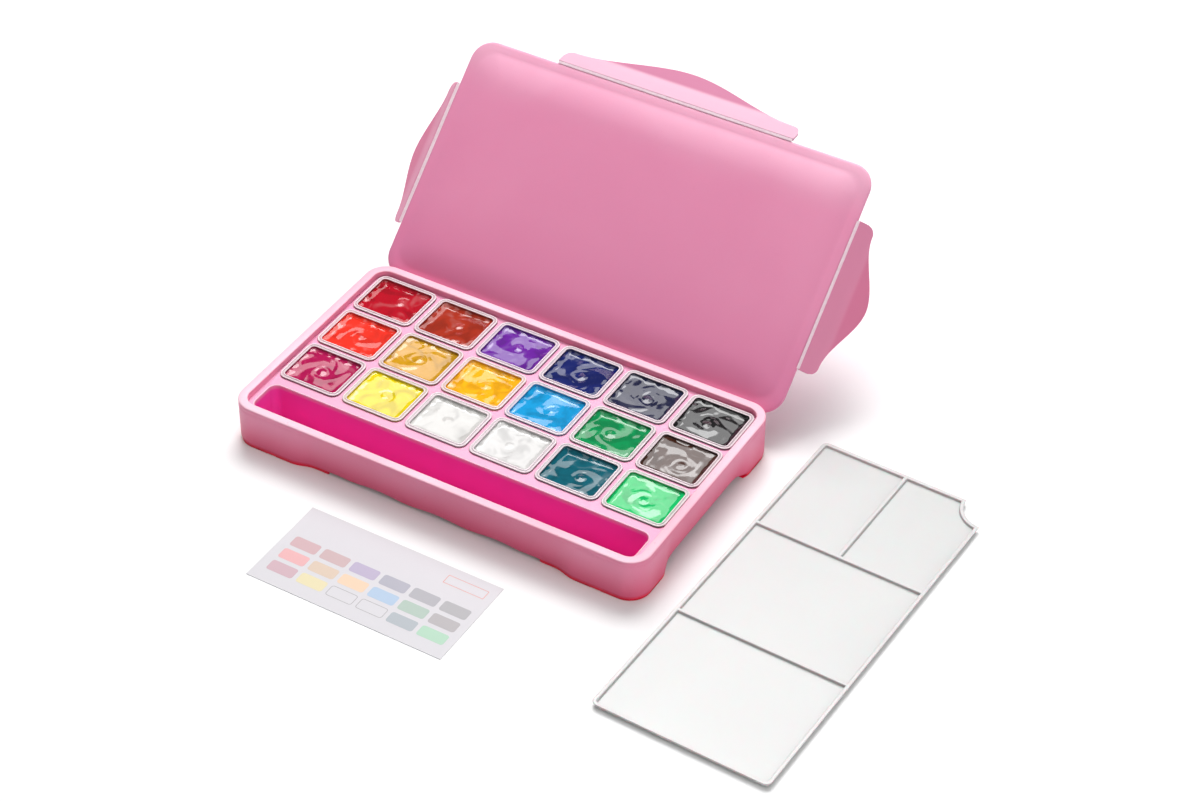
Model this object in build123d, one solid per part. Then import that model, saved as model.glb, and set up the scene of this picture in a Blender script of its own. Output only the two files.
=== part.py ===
from build123d import *
import os
from math import cos, radians, sin

# Gouache paint set box: a shallow case with eighteen paint cups and a brush trough, its lid taken
# off and stood behind it on one of its four latch flaps, and a mixing palette and a colour card
# laid beside it.  Millimetres, +Z up.  The origin is the middle of the case's underside, +X runs
# along the case's long side and +Y points to the lid.

# ---- Case shell ----
CASE_LENGTH = 300.0
CASE_WIDTH = 171.3
RIM_HEIGHT = 31.8            # top of the rim above the floor
CORNER_RADIUS = 15.0
CASE_WALL = 2.0
RIM_WIDTH = 6.1
RIM_SKIN = 2.0               # thickness of the rim's top
RIM_INNER_WALL = 1.6
RIM_OUTER_ROUND = 1.4
RIM_INNER_ROUND = 0.7

# ---- Scoops: the latch recess and hollow in the middle of each side ----
LEDGE_DROP = 3.3             # underside of the latch lip below the rim's top
RECESS_DEPTH = 1.2           # how far the wall steps back under the lip
SCOOP_DEPTH = 3.4            # how far the wall is set in at its foot
LONG_SCOOP_HALF = 88.0       # flat stretch of the long side's scoop, each way from the middle
LONG_SCOOP_BLEND = 17.0
SHORT_SCOOP_HALF = 43.0
SHORT_SCOOP_BLEND = 13.0
LONG_ARCH_HALF = 56.0        # flat stretch of the long side's raised foot
LONG_ARCH_BLEND = 50.0
LONG_ARCH_RISE = 5.0
SHORT_ARCH_HALF = 36.0
SHORT_ARCH_BLEND = 20.0
SHORT_ARCH_RISE = 4.0

# ---- Base panel ----
FOOT_FLANGE = 0.8            # thickness of the base panel's flange under the walls
BASE_PLATE = 1.5             # thickness of the panel's raised middle
BASE_INSET = 0.6             # flange set in from the walls
BASE_CLEARANCE = 0.3
NOTCH_CENTRE = 119.5
NOTCH_WIDTH = 7.0
NOTCH_DEPTH = 3.0
ARCH_SETBACK = 8.0           # panel's edge behind the scooped walls, between its corners
LONG_SETBACK_HALF = 79.0
SHORT_SETBACK_HALF = 50.0

# ---- Cup deck ----
DECK_TOP = 27.2
DECK_PLATE = 2.0
DECK_OVERLAP = 1.9           # how far the deck runs out under the rim's inner wall
REBATE_DEPTH = 0.4
REBATE_MARGIN = 0.5          # rebate beyond the cup's flange
POCKET_CLEARANCE = 0.4
POCKET_WALL = 1.0
TROUGH_END = 4.5             # deck left at each end of the trough
TROUGH_WIDTH = 25.7
TROUGH_RADIUS = 6.0
TROUGH_TAPER = 2.0           # how much narrower each side is at the trough's floor
TROUGH_LIP = 2.2             # deck left in front of the trough
TROUGH_WALL = 1.2

# ---- Cups and paint ----
CUPS_END_MARGIN = 6.6        # from the case's end to the first cup's share of the deck
CUPS_REAR_MARGIN = 6.2
CUPS_TROUGH_MARGIN = 6.0
COLUMN_GAP = 3.6             # between the flanges of cups side by side
ROW_GAP = 3.3
FLANGE_RADIUS = 5.2
FLANGE_THICKNESS = 1.8
FLANGE_ROUND = 0.5
FLANGE_OVERHANG = 1.4        # flange beyond the cup's body
CUP_TAPER = 1.6              # how much narrower each side of the body is at its floor
CUP_WALL = 1.0
CUP_FLOOR_GAP = 0.3          # between the cup and the pocket's floor
PAINT_DROP = 2.6             # paint level below the flange's top
SWIRL_RADIUS = 7.5
SWIRL_TIP_RADIUS = 1.2
SWIRL_HEIGHT = 1.1

# ---- Lid ----
LID_MARGIN = 0.3             # lid beyond the case, each side
LID_LEAN = 48.3              # degrees from upright
LID_STANDOFF = 1.55          # lower edge behind the case's rear wall
LID_EDGE_HEIGHT = 23.3       # lower edge above the floor
LID_SKIRT = 3.0
LID_WALL = 1.8
LID_ROUND = 0.8
BORDER_WIDTH = 10.0
PILLOW_BAND = 21.0           # width of the slope up to the raised middle
PILLOW_RISE = 3.6
PILLOW_FOOT_RADIUS = 13.0
PILLOW_TOP_RADIUS = 6.0
PILLOW_STEPS = 4

# ---- Latch flaps ----
FLAP_THICKNESS = 2.0
HINGE_GAP = 0.4              # between the flap's round root and the lid's edge
LONG_FLAP_LENGTH = 177.0
SHORT_FLAP_LENGTH = 103.0
FLAP_PANEL = 12.5            # hinge to the outer edge at the flap's ends
FLAP_REACH = 27.5            # hinge to the middle of the tab
FLAP_CORNER = 6.0
BEND_START = 9.0
BEND_RADIUS = 38.0
TAB_FLARE = 9.0              # degrees that the tab turns outwards
CATCH_DISTANCE = 6.6         # hinge to the middle of the catch rib
CATCH_WIDTH = 1.4
CATCH_HEIGHT = 1.0
CATCH_INSET = 12.0           # catch rib short of the flap's ends
LEFT_FLAP_FOLD = 50.0        # degrees folded back from the plane of the lid
RIGHT_FLAP_FOLD = 47.0
REAR_FLAP_FOLD = 41.0
FRONT_FLAP_FOLD = 94.5

# ---- Palette ----
PALETTE_LENGTH = 276.3
PALETTE_WIDTH = 120.4
PALETTE_HEIGHT = 4.0
PALETTE_FLOOR = 2.0
PALETTE_RADIUS = 4.5
PALETTE_DRAFT = 22.0         # degrees that the sides slope in below the rim
PALETTE_RIM = 2.8
RIB_WIDTH = 2.5
NEAR_RIB = -43.8
FAR_RIB = 49.0
NOTCH_RADIUS = 18.0
PALETTE_X = 232.1
PALETTE_Y = -36.05
PALETTE_TURN = -2.35

# ---- Colour card ----
CARD_LENGTH = 140.9
CARD_WIDTH = 70.1
CARD_THICKNESS = 0.4
CARD_X = 1.3
CARD_Y = -148.1
CARD_TURN = -0.45

# ---- Colours, row by row from the trough ----
PAINTS = (
    ("rose", "lemon", "white_left", "white_right", "teal", "light_green"),
    ("vermilion", "ochre", "orange_yellow", "sky_blue", "green", "dark_brown"),
    ("crimson", "red_brown", "violet", "ultramarine", "indigo", "black"),
)

# ---- Values that follow ----
THROUGH = 20.0               # how far a cutting tool reaches past what it cuts
HALF_LENGTH = CASE_LENGTH / 2
HALF_WIDTH = CASE_WIDTH / 2
OPENING_LENGTH = CASE_LENGTH - 2 * RIM_WIDTH
OPENING_WIDTH = CASE_WIDTH - 2 * RIM_WIDTH
OPENING_RADIUS = CORNER_RADIUS - RIM_WIDTH
BASE_TOP = FOOT_FLANGE + BASE_PLATE
REBATE_FLOOR = DECK_TOP - REBATE_DEPTH
CUP_TOP = REBATE_FLOOR + FLANGE_THICKNESS
CUP_BOTTOM = BASE_TOP + POCKET_WALL + CUP_FLOOR_GAP
TROUGH_LENGTH = OPENING_LENGTH - 2 * TROUGH_END
TROUGH_Y = TROUGH_LIP + TROUGH_WIDTH / 2 - OPENING_WIDTH / 2
CUPS_FRONT = TROUGH_Y + TROUGH_WIDTH / 2 + CUPS_TROUGH_MARGIN
CUP_COLUMN_PITCH = (CASE_LENGTH - 2 * CUPS_END_MARGIN) / len(PAINTS[0])
CUP_ROW_PITCH = (HALF_WIDTH - CUPS_REAR_MARGIN - CUPS_FRONT) / len(PAINTS)
FRONT_ROW_Y = CUPS_FRONT + CUP_ROW_PITCH / 2
FLANGE_LENGTH = CUP_COLUMN_PITCH - COLUMN_GAP
FLANGE_WIDTH = CUP_ROW_PITCH - ROW_GAP
CUP_BODY = (FLANGE_LENGTH - 2 * FLANGE_OVERHANG, FLANGE_WIDTH - 2 * FLANGE_OVERHANG)
BODY_RADIUS = FLANGE_RADIUS - FLANGE_OVERHANG
LID_LENGTH = CASE_LENGTH + 2 * LID_MARGIN
LID_WIDTH = CASE_WIDTH + 2 * LID_MARGIN
LID_RADIUS = CORNER_RADIUS + LID_MARGIN
HINGE_OUT = HINGE_GAP + FLAP_THICKNESS / 2
LONG_SCOOP = (LONG_SCOOP_HALF, LONG_SCOOP_BLEND)
SHORT_SCOOP = (SHORT_SCOOP_HALF, SHORT_SCOOP_BLEND)
LONG_ARCH = (LONG_ARCH_HALF, LONG_ARCH_BLEND, LONG_ARCH_RISE)
SHORT_ARCH = (SHORT_ARCH_HALF, SHORT_ARCH_BLEND, SHORT_ARCH_RISE)
SIDES = ((0, HALF_WIDTH, LONG_SCOOP, LONG_ARCH), (90, HALF_LENGTH, SHORT_SCOOP, SHORT_ARCH))


def rounded_prism(length, width, radius, low, high):
    """Upright prism on a rounded rectangle, between two heights."""
    return extrude(Pos(0, 0, low) * RectangleRounded(length, width, radius), high - low)


def tapered_prism(length, width, radius, taper, low, high):
    """Rounded block that is narrower by taper on each side at its low end."""
    foot = RectangleRounded(length - 2 * taper, width - 2 * taper, radius)
    return loft([Pos(0, 0, low) * foot, Pos(0, 0, high) * RectangleRounded(length, width, radius)])


def rise_and_fall(half, blend, rise, level):
    """Face under a level curve that rises over blend to a flat top of twice half."""
    foot = half + blend
    flat_x = (1, 0)
    edges = [
        Spline((-foot, level), (-half, level + rise), tangents=(flat_x, flat_x)),
        Line((-half, level + rise), (half, level + rise)),
        Spline((half, level + rise), (foot, level), tangents=(flat_x, flat_x)),
        Line((foot, level), (foot, level - THROUGH)),
        Line((foot, level - THROUGH), (-foot, level - THROUGH)),
        Line((-foot, level - THROUGH), (-foot, level)),
    ]
    return make_face(edges)


def scoop(reach, half, blend, grow, ledge):
    """Space outside one side's scooped wall, moved inwards by grow."""
    plan = extrude(rise_and_fall(half, blend, SCOOP_DEPTH, grow - reach), RIM_HEIGHT)
    outside = -reach - THROUGH
    section = Polygon(
        (outside, 0), (grow - reach + SCOOP_DEPTH, 0), (grow - reach + RECESS_DEPTH, ledge), (outside, ledge),
        align=None,
    )
    return plan & extrude(Plane.YZ * section, half + blend, both=True)


def all_scoops(grow, ledge):
    """Scoops of the four sides."""
    cuts = []
    for angle, reach, plan, _ in SIDES:
        for turn in (angle, angle + 180):
            cuts.append(Rot(0, 0, turn) * scoop(reach, *plan, grow, ledge))
    return cuts


def all_arches():
    """Cuts that lift the foot of the wall in the middle of each side."""
    cuts = []
    for angle, reach, _, profile in SIDES:
        arch = extrude(Plane.XZ * rise_and_fall(*profile, FOOT_FLANGE), reach + THROUGH, both=True)
        cuts.append(Rot(0, 0, angle) * arch)
    return cuts


def case_shell():
    """Outer wall, folded rim and the rim's inner wall, open below for the deck."""
    ledge = RIM_HEIGHT - LEDGE_DROP
    outer = rounded_prism(CASE_LENGTH, CASE_WIDTH, CORNER_RADIUS, FOOT_FLANGE, RIM_HEIGHT)
    outer = fillet(outer.faces().sort_by(Axis.Z)[-1].edges(), RIM_OUTER_ROUND)
    hollow = rounded_prism(
        CASE_LENGTH - 2 * CASE_WALL, CASE_WIDTH - 2 * CASE_WALL, CORNER_RADIUS - CASE_WALL,
        -THROUGH, RIM_HEIGHT - RIM_SKIN,
    )
    hollow -= rounded_prism(
        OPENING_LENGTH + 2 * RIM_INNER_WALL, OPENING_WIDTH + 2 * RIM_INNER_WALL,
        OPENING_RADIUS + RIM_INNER_WALL, DECK_TOP, RIM_HEIGHT,
    )
    hollow -= all_scoops(CASE_WALL, ledge + CASE_WALL)
    mouth = rounded_prism(OPENING_LENGTH, OPENING_WIDTH, OPENING_RADIUS, -THROUGH, RIM_HEIGHT + THROUGH)
    shell = outer - mouth
    top_face = shell.faces().sort_by(Axis.Z)[-1]
    shell = fillet(top_face.inner_wires()[0].edges(), RIM_INNER_ROUND)
    return shell - hollow - all_scoops(0, ledge) - all_arches()


def base_panel():
    """Flat underside with a flange under the walls at the four corners."""
    flange = rounded_prism(
        CASE_LENGTH - 2 * BASE_INSET, CASE_WIDTH - 2 * BASE_INSET, CORNER_RADIUS - BASE_INSET, 0, FOOT_FLANGE
    )
    flange -= all_scoops(BASE_INSET, RIM_HEIGHT)
    for x in (-NOTCH_CENTRE, NOTCH_CENTRE):
        for y in (-HALF_WIDTH, HALF_WIDTH):
            flange -= Pos(x, y, 0) * Box(NOTCH_WIDTH, 2 * NOTCH_DEPTH, 2 * FOOT_FLANGE)
    inset = CASE_WALL + BASE_CLEARANCE
    plate = rounded_prism(
        CASE_LENGTH - 2 * inset, CASE_WIDTH - 2 * inset, CORNER_RADIUS - inset, FOOT_FLANGE, BASE_TOP
    )
    panel = flange + (plate - all_scoops(inset, RIM_HEIGHT))
    setback = 2 * (SCOOP_DEPTH + ARCH_SETBACK)
    for side in (-1, 1):
        panel -= Pos(0, side * HALF_WIDTH, 0) * Box(2 * LONG_SETBACK_HALF, setback, THROUGH)
        panel -= Pos(side * HALF_LENGTH, 0, 0) * Box(setback, 2 * SHORT_SETBACK_HALF, THROUGH)
    return panel


def cup_body(grow, low, high):
    """Tapered body of a cup between two heights, with its sides moved out by grow."""
    length, width = CUP_BODY
    return tapered_prism(length + 2 * grow, width + 2 * grow, BODY_RADIUS + grow, CUP_TAPER, low, high)


def cup_places():
    """Name and place of each cup, row by row from the trough."""
    for row, names in enumerate(PAINTS):
        middle = (len(names) - 1) / 2
        for column, name in enumerate(names):
            yield name, Pos((column - middle) * CUP_COLUMN_PITCH, FRONT_ROW_Y + row * CUP_ROW_PITCH, 0)


def cup_deck():
    """Insert with a pocket for each cup and the brush trough."""
    plate_low = DECK_TOP - DECK_PLATE
    deck = rounded_prism(
        OPENING_LENGTH + 2 * DECK_OVERLAP, OPENING_WIDTH + 2 * DECK_OVERLAP, OPENING_RADIUS + DECK_OVERLAP,
        plate_low, DECK_TOP,
    )
    pocket_outside = cup_body(POCKET_CLEARANCE + POCKET_WALL, BASE_TOP, REBATE_FLOOR)
    pocket_inside = cup_body(POCKET_CLEARANCE, BASE_TOP + POCKET_WALL, REBATE_FLOOR)
    rebate = rounded_prism(
        FLANGE_LENGTH + 2 * REBATE_MARGIN, FLANGE_WIDTH + 2 * REBATE_MARGIN, FLANGE_RADIUS + REBATE_MARGIN,
        REBATE_FLOOR, DECK_TOP + THROUGH,
    )
    trough_outside = Pos(0, TROUGH_Y, 0) * tapered_prism(
        TROUGH_LENGTH + 2 * TROUGH_WALL, TROUGH_WIDTH + 2 * TROUGH_WALL, TROUGH_RADIUS + TROUGH_WALL,
        TROUGH_TAPER, BASE_TOP, DECK_TOP,
    )
    trough_inside = Pos(0, TROUGH_Y, 0) * tapered_prism(
        TROUGH_LENGTH, TROUGH_WIDTH, TROUGH_RADIUS, TROUGH_TAPER, BASE_TOP + TROUGH_WALL, DECK_TOP
    )
    places = [place for _, place in cup_places()]
    deck += [place * pocket_outside for place in places] + [trough_outside]
    deck -= [place * pocket_inside for place in places]
    deck -= [place * rebate for place in places]
    return deck - trough_inside


def cup_inside():
    """Space inside a cup, from its floor to the flange's top."""
    length, width = CUP_BODY
    return tapered_prism(
        length - 2 * CUP_WALL, width - 2 * CUP_WALL, BODY_RADIUS - CUP_WALL, CUP_TAPER,
        CUP_BOTTOM + CUP_WALL, CUP_TOP,
    )


def paint_cup():
    """Clear cup hung by its flange."""
    flange = rounded_prism(FLANGE_LENGTH, FLANGE_WIDTH, FLANGE_RADIUS, REBATE_FLOOR, CUP_TOP)
    flange = fillet(flange.faces().sort_by(Axis.Z)[-1].edges(), FLANGE_ROUND)
    return cup_body(0, CUP_BOTTOM, REBATE_FLOOR) + flange - cup_inside()


def paint_fill():
    """Paint that fills a cup, with the low swirl that the filling left."""
    level = CUP_TOP - PAINT_DROP
    above = Pos(0, 0, level + THROUGH / 2) * Box(2 * FLANGE_LENGTH, 2 * FLANGE_LENGTH, THROUGH)
    swirl = Cone(SWIRL_RADIUS, SWIRL_TIP_RADIUS, SWIRL_HEIGHT)
    return cup_inside() - above + Pos(0, 0, level + SWIRL_HEIGHT / 2) * swirl


def pillow(inset, drop):
    """Raised middle of the lid, drawn in by inset and let down by drop."""
    sections = []
    for step in range(PILLOW_STEPS + 1):
        share = step / PILLOW_STEPS
        rise = PILLOW_RISE * share * (2 - share)
        margin = 2 * (BORDER_WIDTH + inset + PILLOW_BAND * share)
        radius = PILLOW_FOOT_RADIUS - (PILLOW_FOOT_RADIUS - PILLOW_TOP_RADIUS) * share
        outline = RectangleRounded(LID_LENGTH - margin, LID_WIDTH - margin, radius)
        sections.append(Pos(0, 0, rise - drop) * outline)
    return loft(sections)


def lid_shell():
    """Lid as it lies flat, its lower edge along the X axis and its outside facing up."""
    lid = rounded_prism(LID_LENGTH, LID_WIDTH, LID_RADIUS, -LID_SKIRT, 0)
    lid = fillet(lid.faces().sort_by(Axis.Z)[-1].edges(), LID_ROUND)
    hollow = rounded_prism(
        LID_LENGTH - 2 * LID_WALL, LID_WIDTH - 2 * LID_WALL, LID_RADIUS - LID_WALL,
        -LID_SKIRT - THROUGH, -LID_WALL,
    )
    shell = lid + pillow(0, 0) - hollow - pillow(LID_WALL, LID_WALL)
    return Pos(0, LID_WIDTH / 2, 0) * shell


def flap_section():
    """Cross-section of a flap: round root, flat panel, soft bend and flared tab."""
    half = FLAP_THICKNESS / 2
    flare = radians(TAB_FLARE)

    def on_bend(radius, angle):
        return (BEND_START + radius * sin(angle), BEND_RADIUS - radius * cos(angle))

    def tab_end(radius):
        x, y = on_bend(radius, flare)
        return (x + FLAP_REACH * cos(flare), y + FLAP_REACH * sin(flare))

    inner, outer = BEND_RADIUS + half, BEND_RADIUS - half
    edges = [
        ThreePointArc((0, half), (-half, 0), (0, -half)),
        Line((0, -half), on_bend(inner, 0)),
        ThreePointArc(on_bend(inner, 0), on_bend(inner, flare / 2), on_bend(inner, flare)),
        Line(on_bend(inner, flare), tab_end(inner)),
        Line(tab_end(inner), tab_end(outer)),
        Line(tab_end(outer), on_bend(outer, flare)),
        ThreePointArc(on_bend(outer, flare), on_bend(outer, flare / 2), on_bend(outer, 0)),
        Line(on_bend(outer, 0), (0, half)),
    ]
    return make_face(edges)


def flap_outline(length):
    """Plan of a flap: round corners and an outer edge that swells smoothly to a tab in the middle."""
    end = length / 2
    shoulder = end - FLAP_CORNER
    level = (-1, 0)
    half = [
        Line((0, -FLAP_THICKNESS), (end, -FLAP_THICKNESS)),
        Line((end, -FLAP_THICKNESS), (end, FLAP_PANEL - FLAP_CORNER)),
        CenterArc((shoulder, FLAP_PANEL - FLAP_CORNER), FLAP_CORNER, 0, 90),
        Spline((shoulder, FLAP_PANEL), (0, FLAP_REACH), tangents=(level, level)),
    ]
    return make_face(half + [mirror(edge, Plane.YZ) for edge in half])


def latch_flap(length):
    """Flap with its hinge on the X axis, pointing along +Y with its outside facing up."""
    slab = extrude(Plane.YZ * flap_section(), length / 2, both=True)
    flap = slab & extrude(flap_outline(length), THROUGH, both=True)
    rib_z = -(FLAP_THICKNESS + CATCH_HEIGHT) / 2
    rib = Pos(0, CATCH_DISTANCE, rib_z) * Box(length - 2 * CATCH_INSET, CATCH_WIDTH, CATCH_HEIGHT)
    return flap + rib


def hinge_place(x, y, outwards, fold):
    """Place of a flap on the flat lid, folded down by so many degrees."""
    drop = Vector(0, 0, -1)
    out = outwards * cos(radians(fold)) + drop * sin(radians(fold))
    up = outwards * sin(radians(fold)) - drop * cos(radians(fold))
    return Plane(origin=(x, y, -FLAP_THICKNESS / 2), x_dir=out.cross(up), z_dir=up).location


def lid_place():
    """Place of the flat lid where it leans behind the case."""
    lean = radians(LID_LEAN)
    edge = (0, HALF_WIDTH + LID_STANDOFF, LID_EDGE_HEIGHT)
    return Plane(origin=edge, x_dir=(1, 0, 0), z_dir=(0, -cos(lean), sin(lean))).location


def lid_and_flaps():
    """Lid and its four flaps, by name."""
    long_flap = latch_flap(LONG_FLAP_LENGTH)
    short_flap = latch_flap(SHORT_FLAP_LENGTH)
    side = LID_LENGTH / 2 + HINGE_OUT
    middle = LID_WIDTH / 2
    right, back = Vector(1, 0, 0), Vector(0, 1, 0)
    flat = {
        "lid_shell": lid_shell(),
        "front_flap": hinge_place(0, -HINGE_OUT, -back, FRONT_FLAP_FOLD) * long_flap,
        "rear_flap": hinge_place(0, LID_WIDTH + HINGE_OUT, back, REAR_FLAP_FOLD) * long_flap,
        "left_flap": hinge_place(-side, middle, -right, LEFT_FLAP_FOLD) * short_flap,
        "right_flap": hinge_place(side, middle, right, RIGHT_FLAP_FOLD) * short_flap,
    }
    return {name: lid_place() * piece for name, piece in flat.items()}


def palette():
    """Mixing palette with four wells and a thumb notch at its far right corner."""
    corner = Pos(PALETTE_WIDTH / 2, PALETTE_LENGTH / 2)
    outline = RectangleRounded(PALETTE_WIDTH, PALETTE_LENGTH, PALETTE_RADIUS) - corner * Circle(NOTCH_RADIUS)
    tray = extrude(Pos(0, 0, PALETTE_HEIGHT) * outline, PALETTE_HEIGHT, dir=(0, 0, -1), taper=PALETTE_DRAFT)
    wells = RectangleRounded(
        PALETTE_WIDTH - 2 * PALETTE_RIM, PALETTE_LENGTH - 2 * PALETTE_RIM, PALETTE_RADIUS - PALETTE_RIM
    )
    wells -= corner * Circle(NOTCH_RADIUS + PALETTE_RIM)
    wells -= [Pos(0, y) * Rectangle(PALETTE_WIDTH, RIB_WIDTH) for y in (NEAR_RIB, FAR_RIB)]
    wells -= Pos(0, (FAR_RIB + PALETTE_LENGTH / 2) / 2) * Rectangle(RIB_WIDTH, PALETTE_LENGTH / 2 - FAR_RIB)
    tray -= extrude(Pos(0, 0, PALETTE_FLOOR) * wells, PALETTE_HEIGHT)
    return Pos(PALETTE_X, PALETTE_Y, 0) * Rot(0, 0, PALETTE_TURN) * tray


def colour_card():
    """Thin printed card."""
    card = Pos(0, 0, CARD_THICKNESS / 2) * Box(CARD_LENGTH, CARD_WIDTH, CARD_THICKNESS)
    return Pos(CARD_X, CARD_Y, 0) * Rot(0, 0, CARD_TURN) * card


def all_pieces():
    """Every separate piece, by name."""
    pieces = {"case_shell": case_shell(), "cup_deck": cup_deck(), "base_panel": base_panel()}
    cup, fill = paint_cup(), paint_fill()
    for name, place in cup_places():
        pieces[f"cup_{name}"] = place * cup
        pieces[f"paint_{name}"] = place * fill
    pieces.update(lid_and_flaps())
    pieces["palette"] = palette()
    pieces["colour_card"] = colour_card()
    return pieces


os.makedirs("parts", exist_ok=True)
for name, piece in all_pieces().items():
    export_step(piece, f"parts/{name}.step")
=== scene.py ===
"""Looks of the gouache paint set box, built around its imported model.

Every piece is modelled in millimetres where it lies in its own part, then placed and scaled to
metres in one transform, so that each finished object sits at the origin.
"""
import logging
import math
import random
from dataclasses import dataclass, field
from enum import Enum
from typing import Callable, Iterable, Optional, Union

import bmesh
import bpy
from mathutils import Matrix, Vector, noise


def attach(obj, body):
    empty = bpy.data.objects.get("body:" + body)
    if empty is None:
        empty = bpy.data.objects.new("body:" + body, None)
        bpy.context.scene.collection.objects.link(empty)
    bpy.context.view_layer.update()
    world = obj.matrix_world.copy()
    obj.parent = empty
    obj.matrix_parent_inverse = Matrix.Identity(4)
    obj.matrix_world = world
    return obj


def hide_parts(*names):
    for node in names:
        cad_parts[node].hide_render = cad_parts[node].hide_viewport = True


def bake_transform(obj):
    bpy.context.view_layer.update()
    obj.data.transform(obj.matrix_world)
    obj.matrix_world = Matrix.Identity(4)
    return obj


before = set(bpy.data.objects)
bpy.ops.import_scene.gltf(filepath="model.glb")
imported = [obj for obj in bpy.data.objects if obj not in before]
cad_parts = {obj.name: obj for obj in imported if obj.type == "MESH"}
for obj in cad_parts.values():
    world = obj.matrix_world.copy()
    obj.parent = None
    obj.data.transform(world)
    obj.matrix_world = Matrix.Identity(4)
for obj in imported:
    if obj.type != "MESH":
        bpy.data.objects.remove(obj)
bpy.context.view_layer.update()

LOG = logging.getLogger("paint_box")
MM = 0.001
Colour = tuple[float, float, float]


# --- Shader tools ---


class Value:
    """A socket of a shader on which Python's + and * add Math nodes."""

    def __init__(self, graph: "Graph", socket: bpy.types.NodeSocket) -> None:
        """Wrap a socket.

        Args:
            graph: The graph that the socket belongs to.
            socket: The output socket.
        """
        self.graph = graph
        self.socket = socket

    def _math(self, operation: str, first: "Operand", second: "Operand") -> "Value":
        """Add one Math node."""
        return self.graph.node("Math", {0: first, 1: second}, operation=operation)

    def __add__(self, other: "Operand") -> "Value":
        """Sum."""
        return self._math("ADD", self, other)

    def __mul__(self, other: "Operand") -> "Value":
        """Product."""
        return self._math("MULTIPLY", self, other)


Operand = Union[Value, float]


class Graph:
    """The node tree of one material or of the world."""

    def __init__(self, name: str, world: Optional[bpy.types.World] = None) -> None:
        """Start an empty tree.

        Args:
            name: Name of the material.
            world: The world whose tree it is, or None for a new material.
        """
        self.material = world or bpy.data.materials.new(name)
        self.material.use_nodes = True
        self.tree = self.material.node_tree
        self.tree.nodes.clear()

    def node(self, kind: str, inputs: Optional[dict] = None, output: Union[int, str] = 0,
             stops: Optional[list] = None, **settings: object) -> Optional[Value]:
        """Add one node.

        Args:
            kind: Node type without its ShaderNode prefix.
            inputs: Values or links by socket name or number.
            output: Which output to return.
            stops: Positions and colours of a colour ramp.
            settings: Properties that are set before the sockets.

        Returns:
            The chosen output, or None for a node without one.
        """
        made = self.tree.nodes.new("ShaderNode" + kind)
        for key, setting in settings.items():
            setattr(made, key, setting)
        if stops:
            ramp = made.color_ramp
            while len(ramp.elements) < len(stops):
                ramp.elements.new(1.0)
            for element, (position, colour) in zip(ramp.elements, stops):
                element.position = position
                element.color = (*colour, 1.0)
        for key, value in (inputs or {}).items():
            self.feed(made.inputs[key], value)
        return Value(self, made.outputs[output]) if len(made.outputs) else None

    def feed(self, socket: bpy.types.NodeSocket, value: object) -> None:
        """Link or set one input socket."""
        if isinstance(value, Value):
            self.tree.links.new(value.socket, socket)
        elif isinstance(value, tuple) and len(value) == 3 and socket.type == "RGBA":
            socket.default_value = (*value, 1.0)
        else:
            socket.default_value = value

    def place(self) -> Value:
        """Object coordinates, in metres."""
        return self.node("TexCoord", output="Object")

    def axes(self, vector: Value) -> tuple[Value, Value, Value]:
        """The three parts of a vector."""
        split = self.node("SeparateXYZ", {0: vector}).socket.node
        return tuple(Value(self, socket) for socket in split.outputs)

    def grain(self, vector: Value, scale: float, detail: float = 2.0, distortion: float = 0.0) -> Value:
        """Noise from 0 to 1.

        Args:
            vector: Where the noise is read.
            scale: Waves per metre, or per unit of the map.
            detail: Octaves.
            distortion: How far the noise is bent.

        Returns:
            The noise.
        """
        inputs = {"Vector": vector, "Scale": scale, "Detail": detail, "Distortion": distortion}
        return self.node("TexNoise", inputs, output=0)

    def ramp(self, value: Value, low: float, high: float) -> Value:
        """Smooth step of a value from 0 at low to 1 at high."""
        inputs = {0: value, 1: low, 2: high, 3: 0.0, 4: 1.0}
        return self.node("MapRange", inputs, interpolation_type="SMOOTHSTEP")

    def mix(self, factor: Operand, first: object, second: object) -> Value:
        """Mix two colours."""
        return self.node("Mix", {0: factor, 6: first, 7: second}, output=2, data_type="RGBA")

    def bump(self, height: Value, depth: float, strength: float = 1.0) -> Value:
        """Normal of a height from 0 to 1, depth in metres."""
        return self.node("Bump", {"Height": height, "Distance": depth, "Strength": strength})

    def close(self, inputs: dict) -> bpy.types.Material:
        """End the graph in a Principled shader and return its material."""
        shader = self.node("BsdfPrincipled", inputs)
        self.node("OutputMaterial", {"Surface": shader})
        return self.material


# --- Finishes ---


def shade(colour: Colour, share: float, lift: float = 0.0) -> Colour:
    """A colour scaled by a share and lifted by a constant."""
    return tuple(share * part + lift for part in colour)


def toward_white(colour: Colour, share: float) -> Colour:
    """A colour moved towards white."""
    return tuple(part + (1.0 - part) * share for part in colour)


@dataclass(frozen=True)
class Finish:
    """A procedural material."""

    name: str

    def make(self) -> bpy.types.Material:
        """Return the material."""
        graph = Graph(self.name)
        return graph.close(self.inputs(graph, graph.place()))

    def inputs(self, graph: Graph, place: Value) -> dict:
        """The shader's inputs.

        Args:
            graph: The material's nodes.
            place: Object coordinates, in metres.

        Returns:
            Values or links by socket name.
        """
        raise NotImplementedError


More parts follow.
